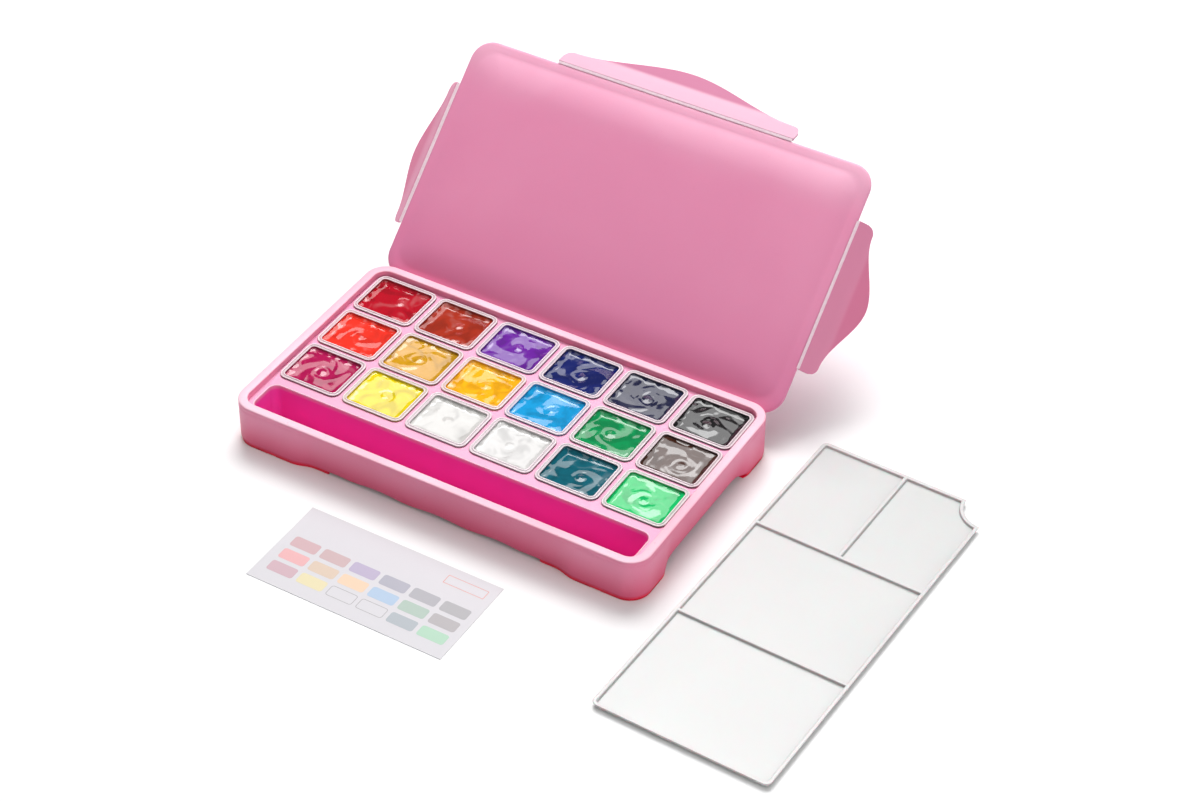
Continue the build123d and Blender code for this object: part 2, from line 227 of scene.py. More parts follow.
class SatinPlastic(Finish):
    """Satin moulded plastic with a faint flow mottle and a fine spark-eroded grain."""

    flow_waves: tuple = (9.0, 3.0, 0.6)
    grain_waves: tuple = (2600.0, 2.0)
    speck_waves: tuple = (420.0, 1.0)
    flow_gloss: float = 0.08
    grain_gloss: float = 0.06
    roughness: float = 0.43
    specular: float = 0.5
    scatter: float = 0.1
    scatter_radius: Colour = (0.9, 0.35, 0.45)
    scatter_scale: float = 0.004
    grain_depth: float = 0.000012

    def mottle(self, graph: Graph, place: Value, flow: Value, strength: float) -> Value:
        """How far the second colour shows: in the flow's streaks, and in small specks."""
        speck = graph.ramp(graph.grain(place, *self.speck_waves), 0.68, 0.76)
        return graph.ramp(flow, 0.3, 0.75) * strength + speck * 0.12

    def colour(self, graph: Graph, place: Value, flow: Value) -> Value:
        """Colour of the plastic, from the object coordinates and the flow mottle."""
        raise NotImplementedError

    def inputs(self, graph: Graph, place: Value) -> dict:
        """The shader's inputs."""
        flow = graph.grain(place, *self.flow_waves)
        fine = graph.grain(place, *self.grain_waves)
        return {
            "Base Color": self.colour(graph, place, flow),
            "Roughness": flow * self.flow_gloss + fine * self.grain_gloss + (self.roughness - 0.07),
            "Specular IOR Level": self.specular,
            "Subsurface Weight": self.scatter,
            "Subsurface Radius": self.scatter_radius,
            "Subsurface Scale": self.scatter_scale,
            "Normal": graph.bump(fine, self.grain_depth),
        }


@dataclass(frozen=True)
class Moulding(SatinPlastic):
    """Plain satin moulding in two close shades."""

    tint: Colour
    deep: Colour
    roughness: float = 0.42
    scatter: float = 0.12

    def colour(self, graph: Graph, place: Value, flow: Value) -> Value:
        """Colour of the plastic."""
        return graph.mix(self.mottle(graph, place, flow, 0.5), self.tint, self.deep)


@dataclass(frozen=True)
class WallPlastic(SatinPlastic):
    """Satin pink moulding of the case, with painted light: a painted highlight pales the rim, painted shade deepens
    the wall towards the foot, and a painted red glow of light through the plastic runs along the bottom edge.
    """

    # rim is a painted highlight, foot is painted shade and edge is a painted red glow of light through the plastic;
    # wall is the plastic's own pink.
    rim: Colour
    wall: Colour
    foot: Colour
    edge: Colour
    rim_height: float
    ledge: float
    specular = 0.35

    def colour(self, graph: Graph, place: Value, flow: Value) -> Value:
        """Colour of the plastic."""
        height = graph.axes(place)[2]
        # Painted shade: from the ledge down, the wall darkens towards the foot colour.
        low = graph.mix(graph.ramp(height, self.ledge * MM, 0.0), self.wall, self.foot)
        # Painted glow: the lowest few millimetres turn the red of light shining through the plastic in the shade.
        low = graph.mix(graph.ramp(height, 4.2 * MM, 2.2 * MM), low, self.edge)
        # Painted highlight: the top of the rim turns pale.
        pale = graph.ramp(height, (self.rim_height - 0.8) * MM, (self.rim_height - 0.15) * MM)
        return graph.mix(self.mottle(graph, place, flow, 0.3), graph.mix(pale, low, self.rim), self.foot)


@dataclass(frozen=True)
class LidPlastic(SatinPlastic):
    """Satin pink moulding of the lid, with a painted highlight paling it towards its upper edge and painted shade
    with bounced pink light deepening it towards its lower edge.
    """

    # pale is the painted highlight of the upper edge; deep is the painted shade and bounced pink of the lower edge.
    pale: Colour
    tint: Colour
    deep: Colour
    roughness = 0.45
    scatter = 0.12

    def colour(self, graph: Graph, place: Value, flow: Value) -> Value:
        """Colour of the plastic."""
        height = graph.axes(place)[2]
        # Painted shade and bounced pink light: deeper towards the lower edge, near the case.
        body = graph.mix(graph.ramp(height, 0.075, 0.030), self.tint, self.deep)
        # Painted highlight: paler towards the upper edge, which faces the light.
        body = graph.mix(graph.ramp(height, 0.112, 0.136), body, self.pale)
        return graph.mix(self.mottle(graph, place, flow, 0.35), body, self.deep)


@dataclass(frozen=True)
class DeckPlastic(SatinPlastic):
    """Pink moulding whose trough and pockets turn deep magenta under the deck's level: painted colour of light
    bounced between the pink walls and shining through the plastic.
    """

    tint: Colour
    deep: Colour
    deck_top: float
    depth: float
    flow_waves = (12.0, 3.0, 0.5)
    grain_gloss = 0.05
    roughness = 0.37
    scatter_radius = (0.9, 0.3, 0.45)
    grain_depth = 0.00001

    def colour(self, graph: Graph, place: Value, flow: Value) -> Value:
        """Colour of the plastic."""
        height = graph.axes(place)[2]
        # Painted light: under the deck's level the colour runs to the deep magenta of light bounced and shining
        # through the pink walls.
        painted_depth_glow = graph.ramp(height, (self.deck_top - 0.4) * MM, (self.deck_top - self.depth) * MM)
        return graph.mix(painted_depth_glow, graph.mix(flow * 0.25, self.tint, self.deep), self.deep)


@dataclass(frozen=True)
class FlapPlastic(SatinPlastic):
    """Pink moulding of a flap, with painted shade making the bent tab beyond the panel a deeper pink."""

    tint: Colour
    # tab is the painted shade of the bent tab.
    tab: Colour
    specular = 0.25
    grain_depth = 0.00001

    def colour(self, graph: Graph, place: Value, flow: Value) -> Value:
        """Colour of the plastic."""
        # Painted shade: the mesh's tab attribute marks the bent tab, which takes the deeper pink.
        tab = graph.node("Attribute", attribute_name="tab", output=2)
        plain = graph.mix(graph.ramp(flow, 0.3, 0.75) * 0.5, self.tint, shade(self.tint, 0.92))
        return graph.mix(graph.ramp(tab, 0.0, 1.0), plain, self.tab)


@dataclass(frozen=True)
class MilkyPlastic(Finish):
    """Clear milky plastic of a cup's flange, with the paint's colour faint in it and painted shade darkening it under
    the top.
    """

    paint: Colour
    top: float
    milk: Colour = (0.74, 0.62, 0.66)

    def inputs(self, graph: Graph, place: Value) -> dict:
        """The shader's inputs."""
        haze = graph.grain(place, 160.0, 2.0)
        height = graph.axes(place)[2]
        # Painted shade: under the flange's top the milk darkens to the paint seen through the plastic.
        low = graph.ramp(height, (self.top - 0.1) * MM, (self.top - 0.36) * MM)
        paint_seen_and_painted_shade = tuple(0.40 * milk + 0.24 * paint for milk, paint in zip(self.milk, self.paint))
        return {
            "Base Color": graph.mix(low * 0.75 + graph.ramp(haze, 0.4, 0.9) * 0.2, self.milk, paint_seen_and_painted_shade),
            "Roughness": haze * 0.08 + 0.24,
            "IOR": 1.49,
            "Normal": graph.bump(haze, 0.00001),
        }


@dataclass(frozen=True)
class Gouache(Finish):
    """Wet gouache: saturated, glossy, with paler streaks drawn out by the filling."""

    tint: Colour
    gloss: float = 0.06

    def inputs(self, graph: Graph, place: Value) -> dict:
        """The shader's inputs, read from the plan of the cup."""
        plan = graph.node("UVMap", uv_map="plan")
        streak = graph.grain(plan, 2.4, 1.0, 1.4)
        fine = graph.grain(plan, 8.0, 1.0, 0.6)
        body = graph.mix(graph.ramp(streak, 0.32, 0.55), shade(self.tint, 0.74), self.tint)
        return {
            "Base Color": graph.mix(graph.ramp(streak, 0.58, 0.78) * 0.6, body, toward_white(self.tint, 0.10)),
            "Roughness": graph.ramp(fine, 0.35, 0.75) * 0.05 + (self.gloss - 0.02),
            "IOR": 1.5,
            "Normal": graph.bump(streak * 0.85 + fine * 0.15, 0.00010, 0.3),
        }


@dataclass(frozen=True)
class StainedWall(Finish):
    """Clear wall of a cup with the paint close behind it."""

    tint: Colour

    def inputs(self, graph: Graph, place: Value) -> dict:
        """The shader's inputs."""
        smear = graph.grain(place, 260.0, 3.0, 0.8)
        dark, pale = shade(self.tint, 0.6, 0.01), shade(self.tint, 0.85, 0.04)
        return {
            "Base Color": graph.mix(graph.ramp(smear, 0.3, 0.7), dark, pale),
            "Roughness": smear * 0.15 + 0.15,
            "Normal": graph.bump(smear, 0.00008),
        }


@dataclass(frozen=True)
class CardStock(Finish):
    """Coated white card with a faint fibre."""

    tint: Colour

    def inputs(self, graph: Graph, place: Value) -> dict:
        """The shader's inputs."""
        fibre = graph.grain(place, 700.0, 4.0)
        cloud = graph.grain(place, 25.0, 2.0)
        return {
            "Base Color": graph.mix(fibre * 0.25 + cloud * 0.3, self.tint, shade(self.tint, 0.93)),
            "Roughness": fibre * 0.15 + 0.45,
            "Normal": graph.bump(fibre, 0.00002),
        }


@dataclass(frozen=True)
class PrintedInk(Finish):
    """Printed inks, one for each patch, read from the mesh's ink attribute."""

    paper: Colour

    def inputs(self, graph: Graph, place: Value) -> dict:
        """The shader's inputs."""
        ink = graph.node("Attribute", attribute_name="ink")
        dots = graph.grain(place, 2400.0, 1.0)
        return {
            "Base Color": graph.mix(dots * 0.12, ink, self.paper),
            "Roughness": dots * 0.1 + 0.42,
        }


@dataclass(frozen=True)
class HingeFilm(Finish):
    """Thin stretched plastic of a living hinge, whitened by bending."""

    tint: Colour

    def inputs(self, graph: Graph, place: Value) -> dict:
        """The shader's inputs."""
        stress = graph.grain(place, 380.0, 3.0)
        pale = toward_white(self.tint, 0.5)
        return {
            "Base Color": graph.mix(graph.ramp(stress, 0.3, 0.7) * 0.4, self.tint, pale),
            "Roughness": stress * 0.06 + 0.32,
            "Normal": graph.bump(stress, 0.000004),
        }


# --- Mesh tools ---


def smooth(share: float) -> float:
    """Smooth step from 0 to 1."""
    share = min(1.0, max(0.0, share))
    return share * share * (3.0 - 2.0 * share)


def plateau(distance: float, half: float, blend: float) -> float:
    """One within half, falling smoothly to zero over blend."""
    return 1.0 - smooth((abs(distance) - half) / blend)


@dataclass(frozen=True)
class Ring:
    """One rounded rectangle of a skin, in millimetres."""

    length: float
    width: float
    radius: float
    height: float

    def inset(self, by: float, height: float, radius: Optional[float] = None) -> "Ring":
        """The rectangle drawn in on every side, at another height."""
        corner = max(self.radius - by, 0.3) if radius is None else radius
        return Ring(self.length - 2 * by, self.width - 2 * by, corner, height)


@dataclass
class RingSkin:
    """Skin through rounded rectangles that lie one after another."""

    arc_steps: int = 8
    long_steps: int = 1
    short_steps: int = 1
    bm: bmesh.types.BMesh = field(default_factory=bmesh.new)
    last: list = field(default_factory=list)
    first: list = field(default_factory=list)

    def __post_init__(self) -> None:
        """Keep each vertex's place along its ring in a layer, which extruding copies."""
        layers = self.bm.verts.layers.int
        self.order = layers.get("order") or layers.new("order")

    def points(self, ring: Ring) -> list[tuple[float, float, float]]:
        """The ring's points, turning left from the start of its first corner."""
        across, along = ring.length / 2 - ring.radius, ring.width / 2 - ring.radius
        found = []
        for quadrant, (sign_x, sign_y) in enumerate(((1, 1), (-1, 1), (-1, -1), (1, -1))):
            for step in range(self.arc_steps + 1):
                angle = math.radians(90 * (quadrant + step / self.arc_steps))
                found.append((sign_x * across + ring.radius * math.cos(angle),
                              sign_y * along + ring.radius * math.sin(angle), ring.height))
            x, y, height = found[-1]
            if quadrant % 2 == 0:
                steps, run_x, run_y = self.long_steps, -2 * sign_y * across, 0.0
            else:
                steps, run_x, run_y = self.short_steps, 0.0, 2 * sign_x * along
            found += [(x + run_x * step / steps, y + run_y * step / steps, height) for step in range(1, steps)]
        return found

    def add(self, ring: Ring) -> list:
        """Add a ring and the faces from the one before.

        Args:
            ring: The rounded rectangle.

        Returns:
            The ring's vertices.
        """
        spots = self.points(ring)
        if self.last:
            made = bmesh.ops.extrude_edge_only(self.bm, edges=self.last)["geom"]
            verts = [item for item in made if isinstance(item, bmesh.types.BMVert)]
        else:
            verts = bmesh.ops.create_circle(self.bm, cap_ends=False, radius=1.0, segments=len(spots))["verts"]
            turn = len(spots) / (2 * math.pi)
            for vert in verts:
                vert[self.order] = round(math.atan2(vert.co.y, vert.co.x) * turn) % len(spots)
        for vert in verts:
            vert.co = spots[vert[self.order]]
        own = set(verts)
        self.last = list({edge for vert in verts for edge in vert.link_edges if edge.other_vert(vert) in own})
        self.first = self.first or self.last
        return verts

    def add_all(self, rings: Iterable[Ring]) -> None:
        """Add rings in order."""
        for ring in rings:
            self.add(ring)

    def cap(self, loop: list) -> None:
        """Close one end with a face."""
        bmesh.ops.edgeloop_fill(self.bm, edges=loop)

    def join_ends(self) -> None:
        """Bridge the last ring to the first."""
        bmesh.ops.bridge_loops(self.bm, edges=self.last + self.first)


class Part:
    """Turns a mesh in millimetres into a finished, dressed object."""

    sharp_angle: float = 38.0

    def __init__(self, bm: bmesh.types.BMesh, name: str, place: Matrix = Matrix.Identity(4)) -> None:
        """Place the mesh, set its shading and make the object.

        Args:
            bm: Mesh in millimetres. It is freed.
            name: Name of the object.
            place: Where the mesh goes, in millimetres.
        """
        bmesh.ops.remove_doubles(bm, verts=bm.verts[:], dist=1e-4)
        bmesh.ops.recalc_face_normals(bm, faces=bm.faces[:])
        for face in bm.faces:
            face.smooth = True
        for edge in bm.edges:
            if len(edge.link_faces) == 2:
                edge.smooth = edge.calc_face_angle(0.0) < math.radians(self.sharp_angle)
        bmesh.ops.transform(bm, matrix=Matrix.Scale(MM, 4) @ place, verts=bm.verts[:])
        mesh = bpy.data.meshes.new(name)
        bm.to_mesh(mesh)
        bm.free()
        self.thing = bpy.data.objects.new(name, mesh)
        bpy.context.scene.collection.objects.link(self.thing)

    def dress(self, *finishes: "Finish") -> "Part":
        """Give the object its materials in slot order."""
        for finish in finishes:
            self.thing.data.materials.append(finish.make())
        return self

    def bevel(self, width: float, segments: int = 2, angle: float = 40.0) -> "Part":
        """Round the sharp edges.

        Args:
            width: Width of the round, in millimetres.
            segments: Faces across it.
            angle: Edges sharper than this are rounded, in degrees.

        Returns:
            This part.
        """
        rounding = self.thing.modifiers.new("round", "BEVEL")
        rounding.width = width * MM
        rounding.segments = segments
        rounding.limit_method = "ANGLE"
        rounding.angle_limit = math.radians(angle)
        rounding.harden_normals = True
        return self

    def belongs(self, body: str, slot: str, *nodes: str) -> bpy.types.Object:
        """Ride on a body and stand for CAD nodes.

        Args:
            body: The body that it moves with.
            slot: Not used.
            nodes: The nodes that it stands for.

        Returns:
            The finished object.
        """
        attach(self.thing, body)
        if nodes:
            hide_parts(*nodes)
        return self.thing


def merged_copy(node: str) -> bmesh.types.BMesh:
    """Mesh of a CAD node in millimetres, merged and with flat faces joined."""
    bm = bmesh.new()
    bm.from_mesh(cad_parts[node].data)
    bmesh.ops.scale(bm, vec=(1 / MM, 1 / MM, 1 / MM), verts=bm.verts[:])
    bmesh.ops.remove_doubles(bm, verts=bm.verts[:], dist=0.002)
    bmesh.ops.dissolve_limit(bm, angle_limit=math.radians(0.6), verts=bm.verts[:], edges=bm.edges[:])
    return bm


# --- Case ---


@dataclass
class Case:
    """Shell with its folded rim and scooped sides, the cup deck and the base panel."""

    length: float = 300.0
    width: float = 171.3
    radius: float = 15.0
    rim_height: float = 31.8
    rim_width: float = 6.1
    wall: float = 2.0
    deck_top: float = 27.2
    foot: float = 1.5
    ledge: float = 28.5
    trough_y: float = -64.5
    trough_size: tuple = (278.8, 25.7, 6.0)
    strip_from: tuple = (79.0, 52.0)
    recess: float = 1.2
    scoop: float = 3.4
    long_scoop: tuple = (88.0, 17.0)
    short_scoop: tuple = (43.0, 13.0)
    long_arch: tuple = (56.0, 50.0, 0.9)
    short_arch: tuple = (36.0, 20.0, 4.0)
    wave: float = 0.7
    wave_length: float = 44.0

    def profile(self) -> list[tuple[float, float]]:
        """Inset and height of each ring, from the rim's inner wall over the top and back inside."""
        top, ledge, foot = self.rim_height, self.ledge, self.foot
        over = [(self.rim_width, self.deck_top), (self.rim_width, top - 0.9), (self.rim_width - 0.1, top - 0.42),
                (self.rim_width - 0.35, top - 0.12), (self.rim_width - 0.8, top), (1.0, top), (0.5, top - 0.1),
                (0.14, top - 0.4), (0.0, top - 0.95), (0.0, ledge + 0.45), (0.12, ledge + 0.12)]
        down = [(0.0, ledge - 0.1)] + [(0.0, ledge - 0.1 - drop) for drop in (3.0, 7.0, 11.0, 15.0, 19.0, 22.5, 25.0)]
        under = [(0.12, foot + 0.9), (0.5, foot + 0.3), (1.0, foot), (1.6, foot), (self.wall, foot + 0.5)]
        inside = [(self.wall, foot + rise) for rise in (6.0, 12.0, 18.0, 24.0)]
        lining = [(self.wall, top - 2.0), (self.rim_width - 1.6, top - 2.0), (self.rim_width - 1.6, self.deck_top)]
        return over + down + under + inside + lining

    def hollow(self, vert: bmesh.types.BMVert) -> None:
        """Move one vertex of the straight wall into the scooped and arched side."""
        x, y, z = vert.co
        if z > self.ledge or min(self.length / 2 - abs(x), self.width / 2 - abs(y)) > self.rim_width - 1.7:
            return
        on_long = self.width / 2 - abs(y) < self.length / 2 - abs(x)
        across = x if on_long else y
        arch_half, arch_blend, rise = self.long_arch if on_long else self.short_arch
        down = (self.ledge - z) / (self.ledge - self.foot)
        lift = rise * plateau(across, arch_half, arch_blend)
        if on_long:
            lift += self.wave * math.cos(2 * math.pi * (x - 3.0) / self.wave_length) * plateau(x, 58.0, 16.0)
        vert.co.z = z + lift * smooth(1.0 - (z - self.foot) / 17.0)
        self.scoop_in(vert, on_long, down)

    def scoop_in(self, vert: bmesh.types.BMVert, on_long: bool, down: float) -> None:
        """Draw one vertex of a side in by the depth of the scoop.

        Args:
            vert: The vertex.
            on_long: Whether it lies on a long side.
            down: Its place from the ledge, 0, to the foot, 1.
        """
        across, (half, blend) = (vert.co.x, self.long_scoop) if on_long else (vert.co.y, self.short_scoop)
        depth = (self.recess + (self.scoop - self.recess) * down ** 1.4) * plateau(across, half, blend)
        out = 1 if on_long else 0
        vert.co[out] -= math.copysign(depth, vert.co[out])

    def loop(self, profile: Iterable[tuple[float, float]]) -> RingSkin:
        """Closed skin round the case through the insets and heights of a profile."""
        skin = RingSkin(12, 90, 48)
        outline = Ring(self.length, self.width, self.radius, 0.0)
        skin.add_all(outline.inset(inset, height) for inset, height in profile)
        skin.join_ends()
        return skin

    def shell(self) -> bpy.types.Object:
        """Build the shell."""
        skin = self.loop(self.profile())
        for vert in skin.bm.verts:
            self.hollow(vert)
        # Colours in order: painted rim highlight, the wall's pink, painted shade at the foot, painted red glow at the
        # bottom edge.
        finish = WallPlastic("case_pink", (0.86, 0.55, 0.65), (0.88, 0.29, 0.45), (0.78, 0.11, 0.22),
                             (0.88, 0.03, 0.11), self.rim_height, self.ledge)
        return Part(skin.bm, "case_shell_skin").dress(finish).belongs("case", "case_plastic", "case_shell")

    def deck(self) -> bpy.types.Object:
        """Round the edges of the deck and dress it."""
        # The deep magenta is painted bounced light in the trough and pockets.
        finish = DeckPlastic("deck_pink", (0.80, 0.37, 0.52), (0.86, 0.065, 0.43), self.deck_top, 3.5)
        part = Part(merged_copy("cup_deck"), "cup_deck_skin").dress(finish).bevel(0.35)
        return part.belongs("case", "deck_plastic", "cup_deck")

    def beads(self) -> bpy.types.Object:
        """Build the thin raised line on the deck round the trough."""
        skin = RingSkin(arc_steps=8)
        for outset, rise in ((-0.1, -0.15), (0.0, 0.3), (0.35, 0.5), (0.8, 0.3), (0.9, -0.15)):
            skin.add(Ring(*self.trough_size, 0.0).inset(-outset, self.deck_top + rise))
        skin.join_ends()
        bmesh.ops.translate(skin.bm, vec=(0.0, self.trough_y, 0.0), verts=skin.bm.verts[:])
        # The bead's paler pink than the deck is a painted highlight along the raised line.
        finish = Moulding("deck_bead_pink", (0.86, 0.58, 0.68), (0.82, 0.52, 0.63), roughness=0.36, scatter=0.0)
        return Part(skin.bm, "trough_bead").dress(finish).belongs("case", "deck_plastic")

    def strips(self) -> bpy.types.Object:
        """Build the edge of the base that shows under the wall round each corner."""
        top = self.foot + 0.7
        skin = self.loop(((1.6, 0.06), (0.75, 0.06), (0.6, 0.3), (0.6, top), (1.6, top)))
        half_x, half_y = self.strip_from
        middles = [(face, face.calc_center_median()) for face in skin.bm.faces]
        away = [face for face, middle in middles if abs(middle.x) < half_x or abs(middle.y) < half_y]
        bmesh.ops.delete(skin.bm, geom=away, context="FACES")
        for vert in skin.bm.verts:
            self.scoop_in(vert, self.width / 2 - abs(vert.co.y) < self.length / 2 - abs(vert.co.x), 1.0)
        part = Part(skin.bm, "base_edge").dress(self.base_pink_and_painted_glow("base_edge_pink"))
        return part.belongs("case", "base_plastic")

    @staticmethod
    def base_pink_and_painted_glow(name: str) -> Moulding:
        """The deep pink of the base panel, brightened to a painted red glow of light passing through the plastic in
        the shade under the case.
        """
        # Painted glow: the red is brightened to stand in for light shining through the plastic in the shade.
        return Moulding(name, (0.95, 0.008, 0.06), (0.85, 0.006, 0.04), roughness=0.35, scatter=0.0)

    def base(self) -> None:
        """Dress the base panel."""
        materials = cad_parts["base_panel"].data.materials
        materials.clear()
        materials.append(self.base_pink_and_painted_glow("base_deep_pink").make())

    def build(self) -> None:
        """Build every piece of the case."""
        self.shell()
        self.deck()
        self.beads()
        self.strips()
        self.base()


# --- Cups and paint ---


@dataclass(frozen=True)
class Paint:
    """One colour, how rough its surface was left, and how far it leans to the front right, in degrees."""

    name: str
    tint: Colour
    relief: float = 1.0
    lean: float = 0.0


ROWS: tuple[tuple[Paint, ...], ...] = (
    (Paint("rose", (0.40, 0.003, 0.075), 1.0, 1.0), Paint("lemon", (0.76, 0.60, 0.0), 0.4, 2.6),
     Paint("white_left", (0.60, 0.59, 0.57), 0.5, 0.0), Paint("white_right", (0.60, 0.59, 0.58), 0.4, 0.0),
     Paint("teal", (0.0, 0.10, 0.14), 1.1, -2.6), Paint("light_green", (0.0, 0.50, 0.13), 1.0, 0.8)),
    (Paint("vermilion", (0.80, 0.03, 0.015), 1.0, -1.2), Paint("ochre", (0.58, 0.29, 0.005), 1.1, 1.0),
     Paint("orange_yellow", (0.90, 0.42, 0.004), 0.9, -1.4), Paint("sky_blue", (0.005, 0.30, 0.62), 1.1, -1.6),
     Paint("green", (0.0, 0.26, 0.075), 1.1, -1.6), Paint("dark_brown", (0.055, 0.018, 0.01), 0.6, 2.5)),
    (Paint("crimson", (0.42, 0.0, 0.012), 0.9, -2.6), Paint("red_brown", (0.36, 0.025, 0.008), 0.9, -2.4),
     Paint("violet", (0.13, 0.012, 0.30), 1.0, 0.4), Paint("ultramarine", (0.005, 0.012, 0.12), 1.0, -1.6),
     Paint("indigo", (0.012, 0.014, 0.05), 1.1, 1.0), Paint("black", (0.010, 0.009, 0.010), 1.1, 1.2)),
)


@dataclass
class Cup:
    """A clear cup hung in the deck by its ribbed flange, with its fill of gouache."""

    paint: Paint
    x: float
    y: float
    seed: int
    flange_length: float = 45.2
    flange_width: float = 39.4
    flange_radius: float = 5.7
    shelf: float = 26.8
    top: float = 28.6
    bottom: float = 3.6
    overhang: float = 1.9
    taper: float = 1.6
    wall: float = 1.0
    rib_depth: float = 0.08
    rib_steps: tuple = (64, 54)
    lip: float = 3.1
    level: float = 26.0
    flat_share: float = 0.8

    def place(self) -> Matrix:
        """Where the cup stands."""
        return Matrix.Translation((self.x, self.y, 0.0))

    @property
    def flange(self) -> Ring:
        """Outline of the flange."""
        return Ring(self.flange_length, self.flange_width, self.flange_radius, 0.0)

    def shell(self) -> bpy.types.Object:
        """Build the cup: flange, neck, tapered body and the inside."""
        skin = RingSkin(8, *self.rib_steps)
        flange, body = self.flange, self.flange.inset(self.overhang, 0.0)
        top, under = self.top, self.shelf + 1.0
        skin.add_all([body.inset(self.taper, self.bottom), body.inset(0.0, self.shelf)])
        skin.add_all([flange.inset(0.85, self.shelf), flange.inset(0.85, under - 0.1), flange.inset(0.35, under)])
        ribbed = skin.add(flange.inset(0.05, under + 0.12)) + skin.add(flange.inset(0.05, top - 0.5))
        skin.add(flange.inset(0.0, top - 0.42))
        beads = ((0.25, 0.12), (0.7, 0.0), (1.05, 0.08), (1.35, 0.42), (2.0, 0.46), (2.3, 0.14), (2.75, 0.1),
                 (self.lip, 0.36), (3.2, 1.0))
        skin.add_all(flange.inset(inset, top - drop) for inset, drop in beads)
        skin.add_all([body.inset(self.wall + 0.55, self.level - 1.0),
                      body.inset(self.wall + self.taper, self.bottom + self.wall)])
        skin.cap(skin.first)
        skin.cap(skin.last)
        self.rib(ribbed)
        for face in skin.bm.faces:
            middle = face.calc_center_median()
            half_x, half_y = self.flange_length / 2 - self.lip, self.flange_width / 2 - self.lip
            inner = abs(middle.x) < half_x and abs(middle.y) < half_y
            face.material_index = 1 if middle.z < under - 0.02 or (inner and middle.z < top - 0.5) else 0
        name = self.paint.name
        part = Part(skin.bm, f"cup_{name}_skin", self.place())
        part.dress(MilkyPlastic(f"{name}_flange", self.paint.tint, self.top),
                   StainedWall(f"{name}_wall", self.paint.tint))
        return part.belongs(f"{name}_cup", "cup_plastic", f"cup_{name}")

    def rib(self, verts: list) -> None:
        """Push every other vertex of the straight sides in, for the fine upright ribs."""
        for vert in verts:
            straight_x = abs(vert.co.x) < self.flange_length / 2 - self.flange_radius
            straight_y = abs(vert.co.y) < self.flange_width / 2 - self.flange_radius
            if not (straight_x or straight_y):
                continue
            along, out = (0, 1) if straight_x else (1, 0)
            run = (self.flange_length, self.flange_width)[along] - 2 * self.flange_radius
            if round((vert.co[along] / run + 0.5) * self.rib_steps[along]) % 2:
                vert.co[out] -= math.copysign(self.rib_depth, vert.co[out])

    def relief(self) -> Callable[[float, float], float]:
        """Height of the paint's surface above its level, as a function of the place in the cup."""
        dice = random.Random(self.seed)
        strength = self.paint.relief
        centre_x, centre_y = dice.uniform(-3.5, 3.5), dice.uniform(-3.0, 2.0)
        turn, spin = dice.uniform(0, 2 * math.pi), dice.choice((-1, 1))
        pitch = dice.uniform(4.2, 6.0)
        lean = math.tan(math.radians(self.paint.lean))
        shift = Vector((dice.uniform(0, 90), dice.uniform(0, 90), dice.uniform(0, 90)))

        def height(x: float, y: float) -> float:
            """Height at one place."""
            dx, dy = x - centre_x, y - centre_y
            r = math.hypot(dx, dy)
            angle = math.atan2(dy, dx)
            warp = noise.noise(Vector((x, y, 0)) / 7.0 + shift) * 3.2
            spiral = math.cos(spin * angle - 2 * math.pi * (r + warp) / pitch + turn)
            fade = math.exp(-(r / 7.5) ** 2)
            dollop = 0.38 * math.exp(-(r / 2.2) ** 2) - 0.14 * math.exp(-((r - 4.0) / 1.7) ** 2)
            swirl = spin * 2.6 * math.exp(-r / 8.0)
            turned = Matrix.Rotation(swirl, 3, "Z") @ Vector((dx, dy, 0))
            folds = noise.noise(turned / 8.5 + shift) * 0.26
            swell = noise.noise(Vector((x, y, 0)) / 16.0 + shift) * 0.45
            return strength * (0.06 * fade * spiral + dollop + swell + folds) - lean * (0.54 * x - 0.84 * y)

        return height

    def fill(self) -> bpy.types.Object:
        """Build the paint: a swirled surface and the body down to the cup's floor."""
        rim = self.flange.inset(self.overhang + self.wall + 0.16, self.level)
        bm = bmesh.new()
        bmesh.ops.create_grid(bm, x_segments=66, y_segments=58, size=1.0)
        height = self.relief()
        for vert in bm.verts:
            u, v = vert.co.x, vert.co.y
            x, y = self.squircle(u, v, rim)
            edge = max(abs(u), abs(v))
            wobble = 0.07 * noise.noise(Vector((x / 5.0, y / 5.0, self.seed)))
            into = edge - self.flat_share
            cling = max(0.0, (into + wobble) / (1.0 - self.flat_share)) ** 2
            vert.co = (x, y, self.level + height(x, y) * (1.0 - smooth(into / (1.0 - self.flat_share))) + cling)
        border = [edge for edge in bm.edges if len(edge.link_faces) == 1]
        made = bmesh.ops.extrude_edge_only(bm, edges=border)["geom"]
        low = [item for item in made if isinstance(item, bmesh.types.BMVert)]
        floor = self.bottom + self.wall + 0.1
        shrink = 1.0 - 2 * self.taper / self.flange_width
        for vert in low:
            vert.co = (vert.co.x * shrink, vert.co.y * shrink, floor)
        edges = [item for item in made if isinstance(item, bmesh.types.BMEdge)]
        bmesh.ops.edgeloop_fill(bm, edges=[edge for edge in edges if len(edge.link_faces) == 1])
        plan = bm.loops.layers.uv.new("plan")
        for face in bm.faces:
            for loop in face.loops:
                loop[plan].uv = (loop.vert.co.x / 40.0 + self.seed, loop.vert.co.y / 40.0)
        name = self.paint.name
        part = Part(bm, f"paint_{name}_skin", self.place()).dress(Gouache(f"{name}_gouache", self.paint.tint))
        return part.belongs(f"{name}_cup", f"{name}_gouache", f"paint_{name}")

